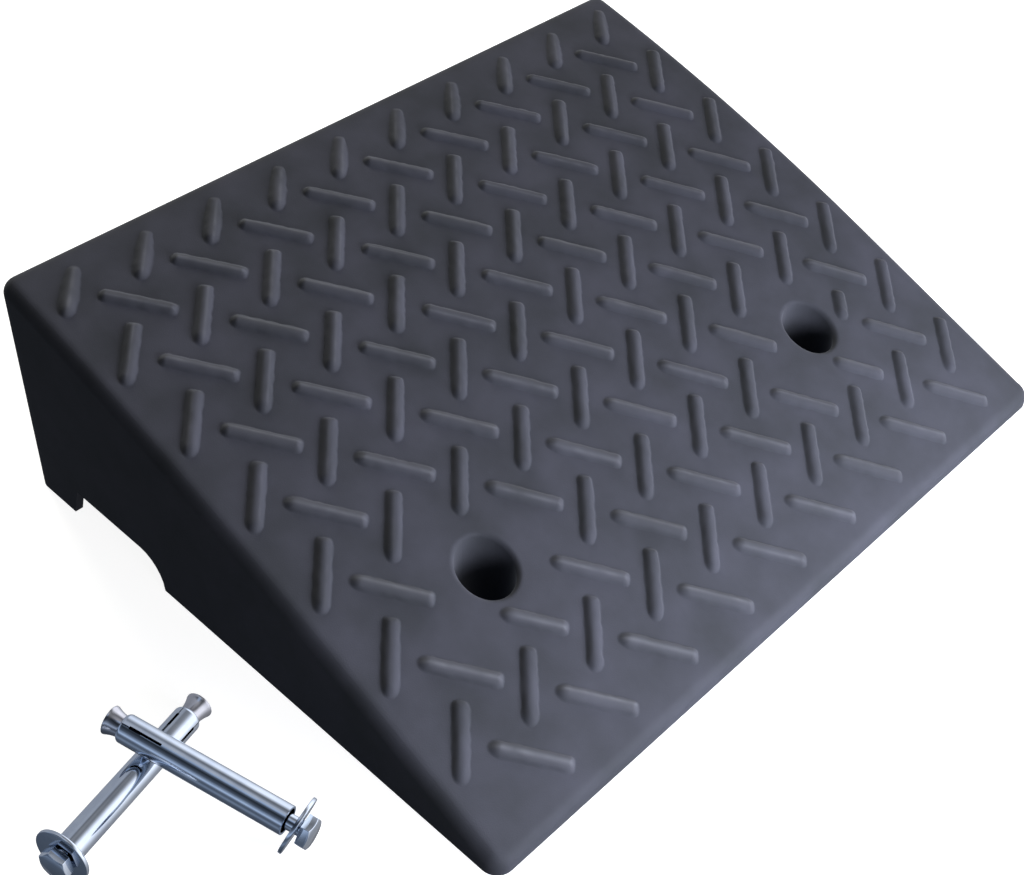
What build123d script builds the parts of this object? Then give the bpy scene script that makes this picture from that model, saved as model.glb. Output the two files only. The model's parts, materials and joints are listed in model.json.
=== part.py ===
from build123d import *
from math import atan, cos, hypot, radians, sin, sqrt, tan
import os

# Kerb ramp moulded in one piece of plastic, with the two sleeve anchors that fasten it to the ground.
# Millimetres, +Z up. X runs along the kerb, the low front edge faces -Y and the high rear faces +Y.
# The origin is the middle of the ramp's footprint, on the ground. The anchors lie loose beside it.

# Ramp, overall
ramp_width = 490.0
ramp_depth = 380.0
ramp_height = 150.0
lip_height = 9.0
straight_run = 135.0
crown_drop = 21.5
corner_round = 10.0
edge_round = 8.0
lip_flat = 0.8

# Ramp, underside
skin = 5.0
rib = 4.0
cells_across = 10
cells_deep = 7
nose_depth = 24.0

# Channel under the rear half, for pipes, cables and water
rear_foot = 39.0
channel_width = 86.0
channel_height = 20.0
channel_round = 19.0

# Tread bars
columns = 10
rows = 7
column_pitch = 48.3
row_pitch = 53.1
first_row = 30.1
rising_length = 44.0
rising_angle = 42.0
falling_length = 48.5
falling_angle = 41.0
rear_length = 36.0
bar_width = 11.6
bar_height = 3.0
bar_draft = 48.0
bar_end_chamfer = 3.7
bar_root = 0.6
least_bar = 24.0

# Wells for the anchors
well_spacing = 286.0
well_from_front = 109.0
well_diameter = 33.0
well_wall = 4.0
well_rim = 3.0
bar_to_well = 7.0
seat_height = 10.0
sleeve_clearance = 0.5

# Sleeve anchors, along their own axes from the head's bearing face to the point
sleeve_diameter = 15.0
sleeve_wall = 1.3
sleeve_length = 94.5
slit_count = 4
slit_length = 24.0
slit_width = 1.4
slit_mouth_length = 5.5
slit_mouth_width = 0.5
mouth_round_length = 2.0
mouth_round_depth = 1.0
mouth_land = 0.2
mouth_chamfer = 0.25
mouth_turn_in = 4.0
shank_diameter = 8.0
head_across_flats = 15.0
head_height = 5.5
head_chamfer = 0.9
washer_diameter = 30.0
washer_thickness = 2.0
washer_clearance = 1.3
washer_seat_gap = 0.3
bolt_length = 106.5
nut_clearance = 0.4
thread_clearance = 0.05
neck_length = 9.0
flare_length = 8.5
flare_rim = 1.0
point_chamfer = 0.8

# Places of the two anchors beside the ramp: where the washer stands in plan, the heading of the point,
# how far the loose pieces have slid, and how the washer, the slits and the head have turned
crossing_gap = 0.3
tilt_rounds = 12
lower_place = (-383.8, -45.2)
lower_heading = 16.2
lower_head_to_washer = 1.0
lower_washer_to_sleeve = 0.5
lower_nut_showing = 9.5
lower_washer_lean = 0.0
lower_slit_turn = -12.0
lower_head_turn = 47.0
upper_place = (-296.5, -108.7)
upper_heading = 107.3
upper_head_to_washer = 2.4
upper_washer_to_sleeve = 4.3
upper_nut_showing = 8.0
upper_washer_lean = 12.0
upper_slit_turn = -17.4
upper_head_turn = 35.0

# Worked-out sizes of the tread, seen from the side with the front edge at s = 0
slope = atan((ramp_height - lip_height + crown_drop) / ramp_depth)
front = -ramp_depth / 2
rear = ramp_depth / 2
bend_y = front + straight_run
bend_z = lip_height + straight_run * tan(slope)
bend_s = straight_run / cos(slope)
crown_chord = hypot(rear - bend_y, ramp_height - bend_z)
crown_radius = crown_chord**2 / (2 * crown_drop * cos(slope))


def tread_place(s):
    """Y, Z and slope angle of the tread at the length s up from the front edge."""
    if s <= bend_s:
        return front + s * cos(slope), lip_height + s * sin(slope), slope
    angle = slope - (s - bend_s) / crown_radius
    y = bend_y + crown_radius * (sin(slope) - sin(angle))
    z = bend_z + crown_radius * (cos(angle) - cos(slope))
    return y, z, angle


def tread_plane(x, s, turn):
    """Plane on the tread at x and s, its own X turned by so many degrees from straight up the slope."""
    y, z, angle = tread_place(s)
    up_slope = Vector(0, cos(angle), sin(angle))
    normal = Vector(0, -sin(angle), cos(angle))
    along = up_slope * cos(radians(turn)) + Vector(1, 0, 0) * sin(radians(turn))
    return Plane(origin=(x, y, z), x_dir=along, z_dir=normal)


def bar_span(x, s, turn, whole):
    """Start and end of a bar of that length, cut back beside the wells; None if too little is left."""
    low, high = -whole / 2, whole / 2
    along_x, along_s = sin(radians(turn)), cos(radians(turn))
    clear = well_diameter / 2 + well_rim + bar_to_well
    for well_x in (-well_spacing / 2, well_spacing / 2):
        gap_x, gap_s = x - well_x, s - well_from_front / cos(slope)
        nearest = -(gap_x * along_x + gap_s * along_s)
        miss = hypot(gap_x, gap_s)**2 - nearest**2
        if miss < clear**2:
            reach = sqrt(clear**2 - miss)
            if nearest < 0:
                low = max(low, nearest + reach)
            else:
                high = min(high, nearest - reach)
    return (low, high) if high - low >= least_bar else None


def tread_bars():
    """Planes and lengths of the bars: two families that cross like stitches, shorter in the rear row."""
    bars = []
    last_column = (columns - 1) / 2
    for row in range(rows):
        for column in range(columns):
            x = (column - last_column) * column_pitch
            s = first_row + (rows - row - 0.5) * row_pitch
            bars.append((x, s, rising_angle, rising_length if row else rear_length))
        for column in range(columns - 1):
            x = (column + 0.5 - last_column) * column_pitch
            s = first_row + (rows - row - 1) * row_pitch
            bars.append((x, s, -falling_angle, falling_length))
    placed = []
    for x, s, turn, whole in bars:
        span = bar_span(x, s, turn, whole)
        if span:
            middle = (span[0] + span[1]) / 2
            spot_x = x + middle * sin(radians(turn))
            spot_s = s + middle * cos(radians(turn))
            plane = tread_plane(spot_x, spot_s, turn).offset(-bar_root)
            placed.append((plane, span[1] - span[0]))
    return placed


bars_placed = tread_bars()
bar_lengths = sorted({length for plane, length in bars_placed})
root_spread = 2 * bar_root * tan(radians(bar_draft))
well_places = [(-well_spacing / 2, front + well_from_front), (well_spacing / 2, front + well_from_front)]
edge_radius = min(edge_round, lip_height - lip_flat)
cell_x = (ramp_width - 2 * skin - (cells_across - 1) * rib) / cells_across
cell_y = (ramp_depth - skin - nose_depth - (cells_deep - 1) * rib) / cells_deep
cells_middle = (front + nose_depth + rear - skin) / 2
ceiling_drop = skin / cos(slope)

# Hollows between the ribs, open underneath, with a solid post left round each well
with BuildPart() as hollows:
    with BuildSketch(Plane.XY):
        with Locations((0, cells_middle)):
            with GridLocations(cell_x + rib, cell_y + rib, cells_across, cells_deep):
                Rectangle(cell_x, cell_y)
    extrude(amount=ramp_height)
    with BuildSketch(Plane.YZ):
        with BuildLine():
            inner_lip = Line((front, 0), (front, lip_height - ceiling_drop))
            inner_slope = Line(inner_lip @ 1, (bend_y, bend_z - ceiling_drop))
            inner_top = (rear, ramp_height - ceiling_drop)
            inner_crown = TangentArc(inner_slope @ 1, inner_top, tangent=inner_slope % 1)
            Polyline(inner_crown @ 1, (rear, 0), (front, 0))
        make_face()
    extrude(amount=ramp_width / 2, both=True, mode=Mode.INTERSECT)
    with BuildSketch(Plane.XY):
        with Locations(*well_places):
            Circle(well_diameter / 2 + well_wall)
    extrude(amount=ramp_height, mode=Mode.SUBTRACT)

# Ramp: side profile drawn through the width, plan corners and top edges rounded, then opened from below
with BuildPart() as ramp:
    with BuildSketch(Plane.YZ):
        with BuildLine():
            lip_line = Line((front, 0), (front, lip_height))
            slope_line = Line(lip_line @ 1, (bend_y, bend_z))
            crown_line = TangentArc(slope_line @ 1, (rear, ramp_height), tangent=slope_line % 1)
            Polyline(crown_line @ 1, (rear, 0), (front, 0))
        make_face()
    extrude(amount=ramp_width / 2, both=True)
    with BuildSketch(Plane.XY):
        RectangleRounded(ramp_width, ramp_depth, corner_round)
    extrude(amount=ramp_height, mode=Mode.INTERSECT)
    tread_faces = ramp.faces().filter_by(lambda face: face.normal_at().Z > 0.5)
    tread_edges = tread_faces.edges()
    bend_edges = tread_edges.filter_by(Axis.X).filter_by_position(Axis.Y, bend_y - 1, bend_y + 1)
    fillet(tread_edges - bend_edges, radius=edge_radius)
    with BuildSketch(Plane.XY.offset(seat_height)):
        with Locations(*well_places):
            Circle(well_diameter / 2)
    extrude(amount=ramp_height, mode=Mode.SUBTRACT)
    fillet(ramp.edges().filter_by(GeomType.ELLIPSE), radius=well_rim)
    add(hollows.part, mode=Mode.SUBTRACT)
    with BuildSketch(Plane.YZ):
        with BuildLine():
            foot_wall = Line((rear - rear_foot, 0), (rear - rear_foot, channel_height))
            quarter_start = rear - rear_foot - channel_width + channel_round
            ceiling_line = Line(foot_wall @ 1, (quarter_start, channel_height))
            quarter = TangentArc(
                ceiling_line @ 1,
                (quarter_start - channel_round, channel_height - channel_round),
                tangent=ceiling_line % 1,
            )
            Polyline(quarter @ 1, (quarter_start - channel_round, 0), (rear - rear_foot, 0))
        make_face()
    extrude(amount=ramp_width / 2, both=True, mode=Mode.SUBTRACT)
    with BuildSketch(Plane.XY):
        with Locations(*well_places):
            Circle(sleeve_diameter / 2 + sleeve_clearance)
    extrude(amount=seat_height, mode=Mode.SUBTRACT)
    for bar_length in bar_lengths:
        with BuildSketch(*[plane for plane, length in bars_placed if length == bar_length]):
            outline = Rectangle(bar_length + root_spread, bar_width + root_spread)
            chamfer(outline.vertices(), length=bar_end_chamfer)
    extrude(amount=bar_root + bar_height, taper=bar_draft)
ramp.part.label = "ramp"

# Radii about an anchor's axis
sleeve_radius = sleeve_diameter / 2
bore_radius = sleeve_radius - sleeve_wall
mouth_radius = sleeve_radius - mouth_round_depth - mouth_land - mouth_chamfer
shank_radius = shank_diameter / 2
neck_radius = mouth_radius - nut_clearance
washer_hole_radius = shank_radius + washer_clearance


def washer_offset(lean):
    """How far the washer's middle is above the bolt's axis, with the shank lying low in its hole."""
    reach = washer_hole_radius * cos(lean) - washer_thickness / 2 * sin(lean)
    return reach - shank_radius - washer_seat_gap


def standing_height(tilt, lean):
    """Height of the bolt's axis at the washer's middle, with the washer's rim on the ground."""
    steepness = abs(tilt) + lean
    middle = washer_diameter / 2 * cos(steepness) + washer_thickness / 2 * sin(steepness)
    return middle - washer_offset(lean) * cos(tilt)


def anchor_plane(place, heading, tilt, axis_height, head_to_washer):
    """Plane at the head's bearing face, its Z along the anchor and its Y sideways, level with the ground.

    The axis passes axis_height above the plan place, where the washer's middle is, and rises by tilt.
    """
    washer_middle = head_to_washer + washer_thickness / 2
    level = Vector(cos(radians(heading)), sin(radians(heading)), 0)
    along = level * cos(tilt) + Vector(0, 0, 1) * sin(tilt)
    upward = Vector(0, 0, 1) * cos(tilt) - level * sin(tilt)
    origin = Vector(place[0], place[1], axis_height) - along * washer_middle
    return Plane(origin=origin, x_dir=upward, z_dir=along)


# The lower anchor stands on its washer's rim and on the rim of its nut
lower_lean = radians(lower_washer_lean)
lower_reach = lower_washer_to_sleeve + sleeve_length + lower_nut_showing
lower_tilt = -atan((washer_diameter / 2 - washer_offset(lower_lean) - sleeve_radius) / lower_reach)
lower_height = standing_height(lower_tilt, lower_lean)
lower_plane = anchor_plane(lower_place, lower_heading, lower_tilt, lower_height, lower_head_to_washer)

# The upper anchor stands on its washer's rim and lies across the lower one's sleeve
upper_lean = radians(upper_washer_lean)
turn_between = radians(upper_heading - lower_heading)
offset_x = lower_place[0] - upper_place[0]
offset_y = lower_place[1] - upper_place[1]
across_x, across_y = -sin(radians(lower_heading)), cos(radians(lower_heading))
run_to_crossing = (offset_x * across_x + offset_y * across_y) / sin(turn_between)
crossing_x = upper_place[0] + run_to_crossing * cos(radians(upper_heading)) - lower_place[0]
crossing_y = upper_place[1] + run_to_crossing * sin(radians(upper_heading)) - lower_place[1]
run_on_lower = crossing_x * cos(radians(lower_heading)) + crossing_y * sin(radians(lower_heading))
crossing_height = lower_height + run_on_lower * tan(lower_tilt)
upper_tilt = 0.0
for _ in range(tilt_rounds):
    sleeves_apart = (sleeve_diameter + crossing_gap) * sqrt(1 + tan(lower_tilt)**2 + tan(upper_tilt)**2)
    upper_height = standing_height(upper_tilt, upper_lean)
    upper_tilt = atan((crossing_height + sleeves_apart - upper_height) / run_to_crossing)
upper_plane = anchor_plane(upper_place, upper_heading, upper_tilt, upper_height, upper_head_to_washer)

lower_slides = (lower_head_to_washer, lower_washer_to_sleeve, lower_nut_showing)
upper_slides = (upper_head_to_washer, upper_washer_to_sleeve, upper_nut_showing)
anchors = (
    ("lower", lower_plane, lower_slides, lower_lean, lower_slit_turn, lower_head_turn),
    ("upper", upper_plane, upper_slides, upper_lean, upper_slit_turn, upper_head_turn),
)
anchor_pieces = {}
for which, plane, (head_to_washer, washer_to_sleeve, nut_showing), lean, slit_turn, head_turn in anchors:
    # Places along the axis, counted from the head's bearing face
    washer_middle = head_to_washer + washer_thickness / 2
    sleeve_start = head_to_washer + washer_thickness + washer_to_sleeve
    sleeve_end = sleeve_start + sleeve_length
    nut_end = sleeve_end + nut_showing
    flare_end = nut_end - flare_rim
    flare_start = flare_end - flare_length
    neck_start = flare_start - neck_length
    anchor_axis = Axis(plane.origin, plane.z_dir)
    side_plane = Plane(origin=plane.origin, x_dir=plane.x_dir, z_dir=plane.y_dir * -1)

    # Hex bolt: head with its corners turned off, and a plain shank to the point
    with BuildPart() as bolt:
        with BuildSketch(plane.offset(-head_height)):
            RegularPolygon(head_across_flats / 2, 6, major_radius=False, rotation=head_turn)
        extrude(amount=head_height)
        with BuildSketch(side_plane):
            corner_radius = head_across_flats / sqrt(3)
            with BuildLine():
                Polyline(
                    (0, 0),
                    (0, -head_height),
                    (head_across_flats / 2 - head_chamfer / 2, -head_height),
                    (corner_radius, -head_height + head_chamfer),
                    (corner_radius, 0),
                    (0, 0),
                )
            make_face()
        revolve(axis=anchor_axis, mode=Mode.INTERSECT)
        with BuildSketch(plane):
            Circle(shank_radius)
        extrude(amount=bolt_length)
        chamfer(bolt.faces().sort_by(anchor_axis)[-1].edges(), length=point_chamfer)
    anchor_pieces[which + "_anchor_bolt"] = bolt

    # Flat washer, loose on the shank, leaning back towards the head
    lean_up = plane.x_dir * cos(lean) - plane.z_dir * sin(lean)
    lean_along = plane.z_dir * cos(lean) + plane.x_dir * sin(lean)
    washer_centre = plane.origin + plane.z_dir * washer_middle + plane.x_dir * washer_offset(lean)
    with BuildPart() as washer:
        with BuildSketch(Plane(origin=washer_centre, x_dir=lean_up, z_dir=lean_along)):
            Circle(washer_diameter / 2)
            Circle(washer_hole_radius, mode=Mode.SUBTRACT)
        extrude(amount=washer_thickness / 2, both=True)
    anchor_pieces[which + "_anchor_washer"] = washer

    # Sleeve: a thin tube slit into fingers, which turn in to the nut's neck at the rounded mouth
    with BuildPart() as sleeve:
        with BuildSketch(side_plane):
            with BuildLine():
                round_start = (sleeve_radius, sleeve_end - mouth_round_length)
                round_end = (sleeve_radius - mouth_round_depth, sleeve_end)
                outside = Line((sleeve_radius, sleeve_start), round_start)
                nose = TangentArc(outside @ 1, round_end, tangent=outside % 1)
                Polyline(
                    nose @ 1,
                    (mouth_radius + mouth_chamfer, sleeve_end),
                    (mouth_radius, sleeve_end - mouth_chamfer),
                    (bore_radius, sleeve_end - mouth_turn_in),
                    (bore_radius, sleeve_start),
                    (sleeve_radius, sleeve_start),
                )
            make_face()
        revolve(axis=anchor_axis)
        with BuildSketch(plane.offset(sleeve_end - slit_length)):
            with PolarLocations(sleeve_radius, slit_count, start_angle=slit_turn):
                Rectangle(sleeve_radius, slit_width)
        extrude(amount=slit_length - slit_mouth_length, mode=Mode.SUBTRACT)
        with BuildSketch(plane.offset(sleeve_end - slit_mouth_length)):
            with PolarLocations(sleeve_radius, slit_count, start_angle=slit_turn):
                Rectangle(sleeve_radius, slit_mouth_width)
        extrude(amount=slit_mouth_length, mode=Mode.SUBTRACT)
    anchor_pieces[which + "_anchor_sleeve"] = sleeve

    # Cone nut: a neck in the sleeve's mouth, flaring like a trumpet to the width of the sleeve
    with BuildPart() as nut:
        with BuildSketch(side_plane):
            thread_radius = shank_radius + thread_clearance
            with BuildLine():
                neck = Line((neck_radius, neck_start), (neck_radius, flare_start))
                flare = TangentArc(neck @ 1, (sleeve_radius, flare_end), tangent=neck % 1)
                Polyline(
                    flare @ 1,
                    (sleeve_radius, nut_end),
                    (thread_radius, nut_end),
                    (thread_radius, neck_start),
                    (neck_radius, neck_start),
                )
            make_face()
        revolve(axis=anchor_axis)
    anchor_pieces[which + "_anchor_nut"] = nut

os.makedirs("parts", exist_ok=True)
export_step(ramp.part, "parts/ramp.step")
for piece_name, piece in anchor_pieces.items():
    piece.part.label = piece_name
    export_step(piece.part, f"parts/{piece_name}.step")
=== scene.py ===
import json
import logging
import random
from dataclasses import dataclass, field
from enum import Enum
from math import asin, atan, atan2, copysign, cos, exp, hypot, pi, radians, sin, sqrt, tan
from typing import Any, Callable, Iterable, Optional

import bmesh
import bpy
from bmesh.types import BMesh, BMFace
from bpy.types import Material, Node, NodeSocket, NodeTree, Object
from mathutils import Matrix, Vector, noise


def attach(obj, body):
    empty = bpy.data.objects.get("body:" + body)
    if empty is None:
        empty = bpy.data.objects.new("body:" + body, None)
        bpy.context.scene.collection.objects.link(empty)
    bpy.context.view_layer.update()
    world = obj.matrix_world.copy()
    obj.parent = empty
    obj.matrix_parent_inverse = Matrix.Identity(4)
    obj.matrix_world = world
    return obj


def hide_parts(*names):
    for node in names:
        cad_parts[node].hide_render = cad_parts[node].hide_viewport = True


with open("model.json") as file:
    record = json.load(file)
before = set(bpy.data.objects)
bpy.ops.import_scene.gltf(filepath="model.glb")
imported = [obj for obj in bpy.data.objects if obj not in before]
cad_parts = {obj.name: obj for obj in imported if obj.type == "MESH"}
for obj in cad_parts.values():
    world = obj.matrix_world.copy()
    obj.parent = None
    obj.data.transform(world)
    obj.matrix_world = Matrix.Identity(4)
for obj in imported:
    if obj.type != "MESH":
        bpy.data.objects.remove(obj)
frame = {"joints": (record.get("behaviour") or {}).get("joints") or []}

# Plastic kerb ramp with two sleeve anchors. Sizes are in millimetres and turn to metres in the meshes. X runs
# along the kerb, the low front edge faces -Y, +Z is up and the origin is the middle of the ramp's footprint.
# SLACK is how far a place in a mesh may miss the line that it belongs to, because of rounding.

log = logging.getLogger("kerb_ramp")
MM = 0.001
SLACK = 0.001
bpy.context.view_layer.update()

Colour = tuple[float, float, float]
Pair = tuple[float, float]


class Level(Enum):
    """Heights that tell the layers of the ramp's mesh apart while it is being laid out, in millimetres."""

    CEILING = 20.0
    TOP = 50.0


class Slot(Enum):
    """Material slots of the record."""

    PLASTIC = "ramp_plastic"
    ZINC = "anchor_zinc"
    NUT = "nut_steel"


class Combine(Enum):
    """What is kept of an object where another one meets it."""

    OUTSIDE = "DIFFERENCE"
    SHARED = "INTERSECT"


def select_only(obj: Object) -> None:
    """Select one object and make it active.

    Args:
        obj: The object to select.
    """
    bpy.ops.object.select_all(action="DESELECT")
    obj.select_set(True)
    bpy.context.view_layer.objects.active = obj


def add_mesh(name: str, operator: Callable[..., set[str]], **settings: Any) -> Object:
    """Add a simple mesh object.

    Args:
        name: Its name.
        operator: The operator that adds it.
        settings: The operator's settings.

    Returns:
        The new object.
    """
    bpy.ops.object.select_all(action="DESELECT")
    operator(**settings)
    obj = bpy.context.active_object
    obj.name = name
    return obj


def add_node(tree: NodeTree, kind: str, inputs: dict[Any, Any], **settings: Any) -> Node:
    """Add a shader node.

    Args:
        tree: The nodes to add it to.
        kind: Its type, without the words that all shader nodes start with.
        inputs: A value or another node's output for each input, by name or number.
        settings: Its own settings.

    Returns:
        The new node.
    """
    node = tree.nodes.new(f"ShaderNode{kind}")
    for name, value in settings.items():
        setattr(node, name, value)
    for name, value in inputs.items():
        if isinstance(value, NodeSocket):
            tree.links.new(value, node.inputs[name])
        else:
            node.inputs[name].default_value = value
    return node


def soften(obj: Object, degrees: float) -> None:
    """Shade an object smooth, except at edges that are sharper than some degrees."""
    select_only(obj)
    bpy.ops.object.shade_smooth_by_angle(angle=radians(degrees))


def join(first: Object, others: Iterable[Object]) -> None:
    """Join objects into the first one.

    Args:
        first: The object that stays.
        others: The objects that go into it.
    """
    select_only(first)
    for obj in others:
        obj.select_set(True)
    bpy.ops.object.join()


def combine(obj: Object, tool: Object, kept: Combine) -> None:
    """Cut an object with another one, which is used up.

    Args:
        obj: The object that stays.
        tool: The object that cuts it.
        kept: What stays of the first object.
    """
    select_only(obj)
    modifier = obj.modifiers.new("cut", "BOOLEAN")
    modifier.operation = kept.value
    modifier.solver = "EXACT"
    modifier.object = tool
    bpy.ops.object.modifier_apply(modifier=modifier.name)
    bpy.data.objects.remove(tool)


class Editing:
    """Edit mode on one object, left again at the end of the block."""

    def __init__(self, obj: Object) -> None:
        """Keep the mesh object to edit."""
        self.obj = obj

    def __enter__(self) -> "Editing":
        """Enter edit mode.

        Returns:
            The session itself.
        """
        select_only(self.obj)
        bpy.ops.object.mode_set(mode="EDIT")
        return self

    def __exit__(self, *_: object) -> None:
        """Write the mesh back and leave edit mode."""
        self.write()
        bpy.ops.object.mode_set(mode="OBJECT")

    @property
    def mesh(self) -> BMesh:
        """The mesh as it is now."""
        return bmesh.from_edit_mesh(self.obj.data)

    def write(self) -> None:
        """Write the mesh back."""
        bmesh.update_edit_mesh(self.obj.data)

    def pick(self, kind: str, all_of_them: bool = False) -> None:
        """Choose VERT, EDGE or FACE as the kind of element to pick, and pick all of them or none."""
        bpy.ops.mesh.select_mode(type=kind)
        bpy.ops.mesh.select_all(action="SELECT" if all_of_them else "DESELECT")

    def pick_faces(self, wanted: Callable[[BMFace], bool]) -> None:
        """Pick the faces that pass a test.

        Args:
            wanted: The test.
        """
        self.pick("FACE")
        for face in self.mesh.faces:
            if wanted(face):
                face.select_set(True)
        self.write()

    def pick_rim(self, wanted: Callable[[Vector], bool]) -> None:
        """Pick the open edges whose two ends pass a test.

        Args:
            wanted: The test on a vertex's place.
        """
        self.pick("EDGE")
        for edge in self.mesh.edges:
            if edge.is_boundary and all(wanted(vert.co) for vert in edge.verts):
                edge.select_set(True)
        self.write()

    def place_picked(self, place: Callable[[Vector], Vector]) -> None:
        """Move each picked vertex.

        Args:
            place: Gives the new place from the old one.
        """
        for vert in self.mesh.verts:
            if vert.select:
                vert.co = place(vert.co.copy())
        self.write()

    def close(self, gap: float) -> None:
        """Merge doubles and turn the faces outward.

        Args:
            gap: Largest distance between doubles.
        """
        self.pick("VERT", all_of_them=True)
        bpy.ops.mesh.remove_doubles(threshold=gap * MM)
        bpy.ops.mesh.normals_make_consistent(inside=False)


@dataclass(frozen=True)
class TreadShape:
    """The ramp's outside: a straight slope that turns into a crown, with one rounding along its edges."""

    width: float = 490.0
    depth: float = 380.0
    height: float = 150.0
    lip: float = 9.0
    straight_run: float = 135.0
    crown_drop: float = 21.5
    corner: float = 10.0
    edge: float = 8.0

    @property
    def slope(self) -> float:
        """Angle of the straight slope."""
        return atan((self.height - self.lip + self.crown_drop) / self.depth)

    @property
    def bend(self) -> Pair:
        """Y and Z where the crown starts."""
        return -self.depth / 2 + self.straight_run, self.lip + self.straight_run * tan(self.slope)

    @property
    def crown_radius(self) -> float:
        """Radius of the crown, seen from the side.

        Returns:
            The radius.
        """
        bend_y, bend_z = self.bend
        chord = hypot(self.depth / 2 - bend_y, self.height - bend_z)
        return chord**2 / (2 * self.crown_drop * cos(self.slope))

    def tread(self, y: float) -> Pair:
        """Height and slope angle of the tread.

        Args:
            y: Place from front to rear.

        Returns:
            The height and the angle.
        """
        bend_y, bend_z = self.bend
        if y <= bend_y:
            return self.lip + (y + self.depth / 2) * tan(self.slope), self.slope
        radius = self.crown_radius
        middle = bend_y + radius * sin(self.slope)
        angle = asin((middle - y) / radius)
        return bend_z + radius * (cos(angle) - cos(self.slope)), angle

    def place_up(self, s: float) -> tuple[float, float, float]:
        """Y, Z and slope angle at a length up the tread.

        Args:
            s: Length from the front edge.

        Returns:
            The place and the angle.
        """
        bend_y, bend_z = self.bend
        bend_s = self.straight_run / cos(self.slope)
        if s <= bend_s:
            return -self.depth / 2 + s * cos(self.slope), self.lip + s * sin(self.slope), self.slope
        radius = self.crown_radius
        angle = self.slope - (s - bend_s) / radius
        y = bend_y + radius * (sin(self.slope) - sin(angle))
        return y, bend_z + radius * (cos(angle) - cos(self.slope)), angle

    def wall(self, x: float, y: float) -> tuple[float, Pair]:
        """Distance to the nearest outside wall, and the way out to it.

        Args:
            x: Place along the kerb.
            y: Place from front to rear.

        Returns:
            The distance and the outward direction in plan.
        """
        over_x = abs(x) - self.width / 2 + self.corner
        over_y = abs(y) - self.depth / 2 + self.corner
        if over_x > 0 and over_y > 0:
            reach = hypot(over_x, over_y)
            return self.corner - reach, (copysign(over_x, x) / reach, copysign(over_y, y) / reach)
        if over_x > over_y:
            return self.corner - over_x, (copysign(1, x), 0.0)
        return self.corner - over_y, (0.0, copysign(1, y))

    def rounded(self, y: float, gap: float, out: Pair, radius: float) -> float:
        """Height of the tread beside a wall, with a ball of one radius rolled along between them.

        Args:
            y: Place from front to rear.
            gap: Distance from the wall.
            out: Direction out of the material to the wall.
            radius: The ball's radius.

        Returns:
            The height.
        """
        flat, angle = self.tread(y)
        if gap >= radius * (1 + sin(angle) * out[1]):
            return flat
        base, angle = self.tread(y + (gap - radius) * out[1])
        if gap >= radius * (1 + sin(angle) * out[1]):
            return flat
        across = tan(angle) * out[0]
        rise = radius * sqrt(max(0.0, 1 - (1 - gap / radius)**2))
        return base - radius / cos(angle) + rise * sqrt(1 + across**2)

    def top(self, x: float, y: float) -> float:
        """Height of the rounded top over a place in plan."""
        gap, out = self.wall(x, y)
        return self.rounded(y, gap, out, self.edge)


@dataclass(frozen=True)
class Finish:
    """A procedural finish: a base colour, its mottling, its grain and its gloss."""

    name: str
    slot: Slot
    colour: Colour
    light_colour: Colour
    metallic: float
    roughness: float
    rough_spread: float
    mottle_scale: float
    grain_scale: float
    grain_depth: float
    specular: float = 0.5
    # Marked bar tops lighten towards the first colour below, partly as wear and partly as painted light;
    # marked insides darken towards the second, a near-black painted shade.
    worn_and_lit: float = 0.0
    painted_shade: float = 0.0
    worn_and_lit_colour: Colour = (0.192, 0.198, 0.216)
    painted_shade_colour: Colour = (0.006, 0.006, 0.008)
    mottle_detail: float = 4.0
    grain_detail: float = 2.0
    mottle_stops: Pair = (0.3, 0.7)

    def make(self) -> Material:
        """Build the material.

        Returns:
            The new material.
        """
        material = bpy.data.materials.new(self.name)
        material.use_nodes = True
        tree = material.node_tree
        shader = tree.nodes["Principled BSDF"]
        shader.inputs["Metallic"].default_value = self.metallic
        shader.inputs["Specular IOR Level"].default_value = self.specular
        place = add_node(tree, "TexCoord", {}).outputs["Object"]
        mottle, grain = (
            add_node(tree, "TexNoise", {"Vector": place, "Scale": scale, "Detail": detail}).outputs["Fac"]
            for scale, detail in (
                (self.mottle_scale, self.mottle_detail), (self.grain_scale, self.grain_detail),
            )
        )
        smooth, rough = self.roughness - self.rough_spread, self.roughness + self.rough_spread
        gloss = add_node(tree, "MapRange", {"Value": mottle, "To Min": smooth, "To Max": rough})
        bump = add_node(tree, "Bump", {"Strength": 1.0, "Distance": self.grain_depth * MM, "Height": grain})
        tree.links.new(self._colour(tree, mottle), shader.inputs["Base Color"])
        tree.links.new(gloss.outputs["Result"], shader.inputs["Roughness"])
        tree.links.new(bump.outputs["Normal"], shader.inputs["Normal"])
        return material

    def _colour(self, tree: NodeTree, mottle: NodeSocket) -> NodeSocket:
        """Join the two colours by the mottling, lighten the marked bar tops (partly wear, partly painted
        light) and paint near-black shade into the marked insides.

        Args:
            tree: The material's nodes.
            mottle: The noise that mixes the colours.

        Returns:
            The colour.
        """
        ramp = add_node(tree, "ValToRGB", {"Fac": mottle})
        colours = (self.colour, self.light_colour)
        for stop, place, colour in zip(ramp.color_ramp.elements, self.mottle_stops, colours):
            stop.position = place
            stop.color = (*colour, 1.0)
        last = ramp.outputs["Color"]
        # The first mark lightens bar tops, partly as wear and partly as painted light; the second paints
        # shade into the wells and inside the sleeves.
        toned = (("wear_and_light", self.worn_and_lit, self.worn_and_lit_colour), ("inside", self.painted_shade, self.painted_shade_colour))
        for attribute, most, tone in toned:
            if most <= 0:
                continue
            marked = add_node(tree, "Attribute", {}, attribute_name=attribute).outputs["Fac"]
            amount = add_node(tree, "Math", {0: marked, 1: most}, operation="MULTIPLY").outputs["Value"]
            inputs = {"Factor": amount, "A": last, "B": (*tone, 1.0)}
            last = add_node(tree, "Mix", inputs, data_type="RGBA").outputs["Result"]
        return last


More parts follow.
